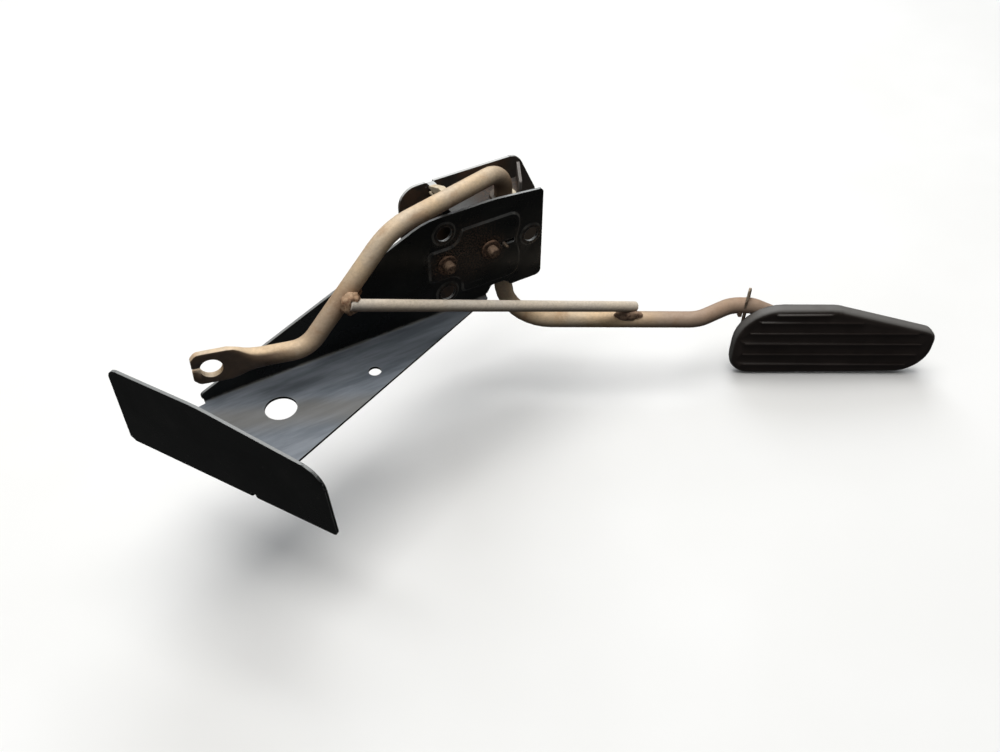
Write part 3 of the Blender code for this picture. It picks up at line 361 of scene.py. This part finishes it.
# ------------------------------------------------------------------ rods, steel
def pedal_rod_stains(look, base):
    """What only the long rod has: a pinkish end by the pad, a brown eye, and dark places at the bends, the
    one at the axle's top being painted shade.
    """
    dark_pink, light_pink = (0.2, 0.12, 0.085), (0.42, 0.29, 0.22)
    dark_brown, light_brown = (0.035, 0.022, 0.016), (0.115, 0.07, 0.045)
    pink = look.blend(look.noise(95.0, 6.0, 0.65), dark_pink, light_pink)
    base = look.tint(base, look.past("X", 70, 125), 0.72, pink)
    eye_face = look.times(look.past("X", -104, -128), look.turned_to("Y", -0.45, -0.8))
    brown = look.blend(look.noise(210.0, 6.0, 0.65), dark_brown, light_brown)
    base = look.tint(base, eye_face, 0.94, brown)
    eye_bend = look.near(Vector((-92, -12, -4)) * MM, 6, 26, 16)
    base = look.tint(base, eye_bend, 0.45, (0.3, 0.18, 0.105))
    # Painted shade on the axle's top bend.
    axle_top_shade = look.near(Vector((AXLE.x, AXLE.y, 26 * MM)), 5, 22, 8)
    base = look.tint(base, axle_top_shade, 0.7, (0.12, 0.065, 0.04))
    brace_heat = look.near(Vector((-79, -15, 10)) * MM, 4, 17, 8)
    return look.tint(base, brace_heat, 0.55, (0.26, 0.13, 0.065))


def rod_look(name, cream, grey, rust_share=0.0, dark_share=0.0, stains=None):
    """Bare steel rod, dusty and cream above, rust-stained and darkened with painted shade below."""
    look = Look(name)
    down = look.turned_to("Z", 0.35, -0.75)
    patch = look.noise(58.0, 7.0, 0.66, distortion=0.4)
    base = look.blend(look.span(look.noise(24.0), 0.36, 0.64), cream, grey)
    fibres = look.grain(5.0, 0.7, (520.0, 520.0, 900.0))
    base = look.blend(look.span(fibres, 0.3, 0.75, 0.0, 0.32), base, (0.25, 0.19, 0.13))
    brown_patches = look.span(patch, 0.60 - rust_share, 0.74 - rust_share * 0.6)
    brown_patches = look.times(brown_patches, look.math("MULTIPLY_ADD", down, 0.45, 0.55))
    orange = look.blend(look.noise(300.0), (0.33, 0.155, 0.065), (0.48, 0.28, 0.14))
    base = look.tint(base, brown_patches, 0.85, orange)
    # Painted shade: downward faces darkened to brown.
    underside_shade = look.blend(look.noise(130.0, 5.0), (0.115, 0.06, 0.035), (0.27, 0.16, 0.095))
    base = look.tint(base, down, 0.8, underside_shade)
    spots = look.span(look.noise(340.0, 6.0, 0.7), 0.66 - dark_share, 0.72 - dark_share)
    base = look.tint(base, spots, 0.6, (0.085, 0.045, 0.028))
    if stains:
        base = stains(look, base)
    rough = look.spread(patch, 0.46, 0.78)
    pits = look.bump(look.noise(800.0, 5.0, 0.7), 0.32, 0.1)
    dents = look.bump(look.noise(110.0, 5.0, 0.6), 0.35, 0.35, pits)
    return look.done(base, rough, look.bump(brown_patches, 0.35, 0.12, dents), metallic=0.1, specular=0.4)


def rust_look(name, light, dark, low=0.35, scale=420.0, metallic=0.0):
    """Rusty steel in two tones, with a darker crust and a painted highlight on its top. A lower low gives
    more of the light.
    """
    look = Look(name)
    pattern = look.noise(scale, 7.0, 0.7, distortion=0.3)
    base = look.blend(look.span(pattern, low, 0.6), dark, light)
    crust = look.span(look.noise(scale * 3.1, 4.0, 0.7), 0.5, 0.68)
    base = look.tint(base, crust, 0.6, tuple(c * 0.35 for c in dark))
    # Painted highlight: upward faces made paler.
    base = look.tint(base, look.turned_to("Z", 0.25, 0.95), 0.45, tuple(c * 1.7 for c in light))
    rough = look.spread(pattern, 0.88, 0.6)
    lumps = look.bump(pattern, 0.6, 0.3)
    return look.done(base, rough, look.bump(crust, 0.5, 0.1, lumps), metallic, specular=0.35)


def spring_look():
    """Spring wire, bright in places and spotted with rust."""
    look = Look("spring_steel_look")
    cloud = look.noise(160.0, 5.0, 0.6)
    base = look.blend(look.span(cloud, 0.4, 0.62), (0.36, 0.34, 0.31), (0.19, 0.14, 0.1))
    spots = look.span(look.noise(900.0, 4.0, 0.7), 0.6, 0.7)
    base = look.tint(base, spots, 0.7, (0.12, 0.06, 0.03))
    rough = look.spread(cloud, 0.28, 0.6)
    return look.done(base, rough, look.bump(look.noise(1300.0), 0.25, 0.05), metallic=0.85)


# --------------------------------------------------------------- other surfaces
PAD_FRONT = (-0.515, -0.857, 0.0)
PAD_LEFT = (-0.857, 0.515, 0.1)


def rubber_look():
    """Moulded black rubber, with a painted highlight on its upper and left rim and on its edges and rib
    tops.
    """
    look = Look("pad_rubber_look")
    cloud = look.noise(42.0, 5.0, 0.6)
    base = look.blend(look.spread(cloud), (0.027, 0.0195, 0.0165), (0.044, 0.033, 0.0285))
    soft = look.rounded(1.6)
    lit = look.most(look.axis(soft, "Z"), look.dot(soft, PAD_LEFT))
    # Painted highlight on the upper and left rim.
    rim_highlight = look.times(look.span(look.dot(soft, PAD_FRONT), 0.97, 0.72), look.span(lit, 0.12, 0.55))
    rim_highlight = look.times(rim_highlight, look.span(look.noise(110.0, 5.0), 0.15, 0.5, 0.6, 1.0))
    base = look.tint(base, rim_highlight, 0.9, (0.15, 0.145, 0.138))
    # Painted highlight on the edges and rib tops.
    edge_highlight = look.times(look.edges(0.5), look.span(look.noise(150.0), 0.2, 0.6))
    base = look.tint(base, edge_highlight, 0.85, (0.19, 0.17, 0.155))
    scuff = look.span(look.grain(4.0, 0.6, (22.0, 300.0, 420.0), (0.1, 0.0, 0.54)), 0.62, 0.74)
    base = look.tint(base, scuff, 0.2, (0.07, 0.062, 0.056))
    rough = look.spread(cloud, 0.5, 0.66)
    leather = look.bump(look.cells(1100.0), 0.22, 0.08, look.rounded(0.5))
    moulded = look.bump(look.noise(300.0, 5.0), 0.15, 0.12, leather)
    return look.done(base, rough, moulded, specular=0.35)


def channel_look():
    """Grey primer over the channel, with a painted reflection whitening the ear's upward face on its left,
    granular rust at its right, a painted highlight along its top, and paler edges, partly worn and partly
    painted highlight.
    """
    look = Look("channel_paint_look")
    cloud = look.noise(60.0, 5.0, 0.6)
    base = look.blend(look.span(cloud, 0.35, 0.65), (0.02, 0.019, 0.018), (0.062, 0.06, 0.057))
    # Painted reflection on the upward face of the ear's left.
    ear_reflection = look.times(look.past("X", 16, 2), look.turned_to("Z", 0.5, 0.9))
    base = look.tint(base, ear_reflection, 0.8, (0.09, 0.091, 0.088))
    grain = look.span(look.noise(560.0, 6.0, 0.8), 0.42, 0.58)
    base = look.tint(base, grain, 0.35, (0.012, 0.01, 0.009))
    granular = look.times(grain, look.past("X", 4, 16))
    base = look.tint(base, granular, 0.9, (0.105, 0.07, 0.05))
    # Painted highlight along the channel's top.
    base = look.tint(base, look.past("Z", 25, 28), 0.8, (0.2, 0.18, 0.165))
    # Paler edges: partly worn primer, partly a painted highlight.
    base = look.tint(base, look.edges(0.5), 0.5, (0.4, 0.38, 0.35))
    rough = look.spread(cloud, 0.45, 0.75)
    fine = look.bump(look.noise(1000.0), 0.25, 0.08)
    return look.done(base, rough, look.bump(granular, 0.6, 0.15, fine), specular=0.45)


def rear_look():
    """Dull dark paint, brown on its left with rust and a painted reflection of the rod, paler edges that are
    partly worn and partly painted highlight, and a painted highlight on the tab's end and on every upward
    edge.
    """
    look = Look("rear_plate_look")
    cloud = look.noise(45.0, 5.0, 0.6)
    base = look.blend(look.spread(cloud), (0.04, 0.032, 0.027), (0.085, 0.068, 0.056))
    brown = look.blend(look.noise(280.0, 6.0, 0.7), (0.08, 0.045, 0.029), (0.2, 0.12, 0.078))
    # Brown on the left: partly rust, partly a painted reflection of the rod.
    brown_patches = look.times(look.past("X", 42, 30), look.span(look.noise(90.0, 5.0), 0.4, 0.6))
    base = look.tint(base, brown_patches, 0.8, brown)
    # Paler edges, partly wear and partly painted highlight, and a painted highlight on the tab's end at the
    # top.
    edge_wear_and_highlight = look.most(look.edges(0.6), look.times(look.past("Z", 33.0, 34.0), 0.7))
    base = look.tint(base, edge_wear_and_highlight, 0.7, (0.34, 0.33, 0.32))
    # Painted highlight on upward faces.
    base = look.tint(base, look.turned_to("Z", 0.3, 0.7), 0.9, (0.55, 0.56, 0.55))
    rough = look.spread(cloud, 0.3, 0.55)
    fine = look.bump(look.noise(1200.0), 0.2, 0.06)
    return look.done(base, rough, look.bump(brown_patches, 0.4, 0.12, fine))


def nylon_look():
    """Cream nylon, darkened with painted shadow from the axle's left side to just past its middle."""
    look = Look("nylon_look")
    cloud = look.noise(180.0, 5.0, 0.6)
    base = look.blend(look.span(cloud, 0.35, 0.65), (0.62, 0.5, 0.34), (0.74, 0.65, 0.5))
    grime = look.span(look.noise(420.0, 5.0, 0.7), 0.55, 0.7)
    base = look.tint(base, grime, 0.45, (0.2, 0.13, 0.08))
    # Painted shadow on the bushes' left side.
    bush_shadow = look.times(look.past("X", 5, 10), look.past("X", 29.5, 27))
    base = look.tint(base, bush_shadow, 0.92, (0.055, 0.036, 0.025))
    rough = look.spread(cloud, 0.42, 0.6)
    return look.done(base, rough, look.bump(look.noise(900.0, 3.0), 0.2, 0.06), specular=0.45)


# The material of each slot in the record. The welds up by the brace are brighter than the others.
UPPER_WELDS = ("upper_brace_weld", "upper_brace_tack")
UPPER_WELD_LOOK = rust_look("brace_weld_look", (0.4, 0.27, 0.17), (0.16, 0.07, 0.034), scale=330.0)
LOOKS = {
    "bracket_paint": paint_look(),
    "rear_plate_paint": rear_look(),
    "channel_paint": channel_look(),
    "rod_steel": rod_look(
        "rod_steel_look", (0.74, 0.54, 0.33), (0.66, 0.54, 0.4), rust_share=0.09, stains=pedal_rod_stains
    ),
    "brace_steel": rod_look("brace_steel_look", (0.82, 0.71, 0.57), (0.74, 0.67, 0.58), dark_share=-0.02),
    "weld_steel": rust_look("pad_weld_look", (0.3, 0.2, 0.135), (0.1, 0.056, 0.036)),
    "rivet_steel": rust_look(
        "rivet_steel_look", (0.2, 0.135, 0.09), (0.06, 0.034, 0.022), 0.4, 620.0, metallic=0.2
    ),
    "washer_steel": rust_look("washer_steel_look", (0.15, 0.088, 0.055), (0.03, 0.018, 0.012), 0.38, 800.0),
    "backing_steel": rust_look(
        "backing_steel_look", (0.34, 0.27, 0.2), (0.13, 0.075, 0.045), 0.3, 260.0, metallic=0.2
    ),
    "spring_steel": spring_look(),
    "nylon": nylon_look(),
    "pad_rubber": rubber_look(),
}

# ---------------------------------------------------------------------- pieces
# The return spring is one still piece here, carried by no body; on the real pedal its top leg stays in the
# wall and its lower leg goes with the arm.
WELD_ANGLE, ROUND_ANGLE, SHEET_ANGLE = 80.0, 40.0, 32.0
WELD_LUMPS = 0.45 * MM
SAME_PLACE = 0.002 * MM
LUMP_SCALE, RIPPLE_SCALE, LUMP_SHARE, MEAN_HEIGHT = 380.0, 1100.0, 0.7, 0.35


def roughened(bm, lumps):
    """Finer faces, moved in and out by up to about this much, as a bead of weld is."""
    bmesh.ops.subdivide_edges(bm, edges=bm.edges, cuts=1, use_grid_fill=True)
    bm.normal_update()
    for vert in bm.verts:
        lump = noise.noise(vert.co * LUMP_SCALE)
        ripple = noise.noise(vert.co * RIPPLE_SCALE)
        height = lump * LUMP_SHARE + ripple * (1 - LUMP_SHARE)
        vert.co += vert.normal * lumps * (height - MEAN_HEIGHT)


def refined(node, sharp_angle, lumps=0.0):
    """The node's shape as one welded, smoothly shaded mesh, with a weld bead's lumps if it is one."""
    bm = bmesh.new()
    bm.from_mesh(frame["nodes"][node].data)
    bmesh.ops.remove_doubles(bm, verts=bm.verts, dist=SAME_PLACE)
    if lumps:
        roughened(bm, lumps)
    for face in bm.faces:
        face.smooth = True
    mesh = bpy.data.meshes.new(node + "_surface")
    bm.to_mesh(mesh)
    bm.free()
    mesh.set_sharp_from_angle(angle=math.radians(sharp_angle))
    mesh.materials.append(UPPER_WELD_LOOK if node in UPPER_WELDS else LOOKS[SLOT_OF[node]])
    piece = bpy.data.objects.new(node + "_surface", mesh)
    bpy.context.scene.collection.objects.link(piece)
    flats = piece.modifiers.new("flats", "WEIGHTED_NORMAL")
    flats.keep_sharp = True
    if node == "return_spring":
        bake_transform(piece)
    else:
        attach(piece, BODY_OF[node])
    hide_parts(node)


for node in sorted(frame["nodes"]):
    if node.endswith(("weld", "tack")):
        refined(node, WELD_ANGLE, WELD_LUMPS)
    else:
        refined(node, ROUND_ANGLE if node.endswith(("rod", "spring")) else SHEET_ANGLE)


# ---------------------------------------------------------------------- studio
FLOOR_REACH = 6.0
FLOOR_GAP = 0.5 * MM
WORLD_STRENGTH = 0.06
# Each softbox: its place, what it points at, its side in metres, its watts and its colour.
SOFTBOXES = {
    "overhead_softbox": ((-0.1, 0.15, 2.1), (0, -0.03, -0.03), 1.7, 47.0, (1.0, 0.99, 0.97)),
    "back_softbox": ((0.9, 1.5, 1.5), (0, -0.03, -0.03), 1.5, 24.0, (0.95, 0.975, 1.0)),
    "left_fill": ((-1.4, -0.7, 1.2), (0, 0, 0), 1.2, 2.5, (0.93, 0.97, 1.0)),
}
CAMERA_PLACE = (-0.21008, -0.37283, 0.31747)
CAMERA_RIGHT = Vector((0.8568, -0.5156, 0.0048)).normalized()
CAMERA_AHEAD = Vector((0.3752, 0.6171, -0.6916)).normalized()
CAMERA_LENS, CAMERA_SENSOR = 35.02, 36.0


def floor_look():
    """A plain floor, very slightly uneven in tone."""
    look = Look("studio_floor")
    base = look.blend(look.spread(look.noise(6.0, 3.0)), (0.88, 0.88, 0.87), (0.91, 0.91, 0.905))
    return look.done(base, 0.9, specular=0.1)


def studio_floor(height):
    corners = [(x * FLOOR_REACH, y * FLOOR_REACH, height) for x, y in ((-1, -1), (1, -1), (1, 1), (-1, 1))]
    mesh = bpy.data.meshes.new("studio_floor")
    mesh.from_pydata(corners, [], [(0, 1, 2, 3)])
    mesh.materials.append(floor_look())
    floor = bpy.data.objects.new("studio_floor", mesh)
    bpy.context.scene.collection.objects.link(floor)
    floor.visible_glossy = False
    floor.visible_diffuse = False
    floor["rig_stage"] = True


def softbox(name, place, target, side, watts, colour):
    light = bpy.data.lights.new(name, "AREA")
    light.shape = "SQUARE"
    light.size = side
    light.energy = watts
    light.color = colour
    lamp = bpy.data.objects.new(name, light)
    bpy.context.scene.collection.objects.link(lamp)
    lamp.location = place
    lamp.rotation_euler = (Vector(target) - Vector(place)).to_track_quat("-Z", "Y").to_euler()


studio_floor(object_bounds()[0].z - FLOOR_GAP)
for name, settings in SOFTBOXES.items():
    softbox(name, *settings)

world = bpy.data.worlds.new("studio")
world.use_nodes = True
backdrop = world.node_tree.nodes["Background"]
backdrop.inputs["Color"].default_value = (1.0, 1.0, 1.0, 1.0)
backdrop.inputs["Strength"].default_value = WORLD_STRENGTH
bpy.context.scene.world = world

camera = bpy.data.objects.new("camera", bpy.data.cameras.new("camera"))
bpy.context.scene.collection.objects.link(camera)
axes = Matrix((CAMERA_RIGHT, CAMERA_RIGHT.cross(CAMERA_AHEAD), -CAMERA_AHEAD)).transposed()
camera.matrix_world = Matrix.Translation(CAMERA_PLACE) @ axes.to_4x4()
camera.data.sensor_width = CAMERA_SENSOR
camera.data.lens = CAMERA_LENS
camera.data.clip_start = 0.01
camera.data.clip_end = 50.0
bpy.context.scene.camera = camera
bpy.context.scene.view_settings.view_transform = "Standard"

bpy.context.view_layer.update()
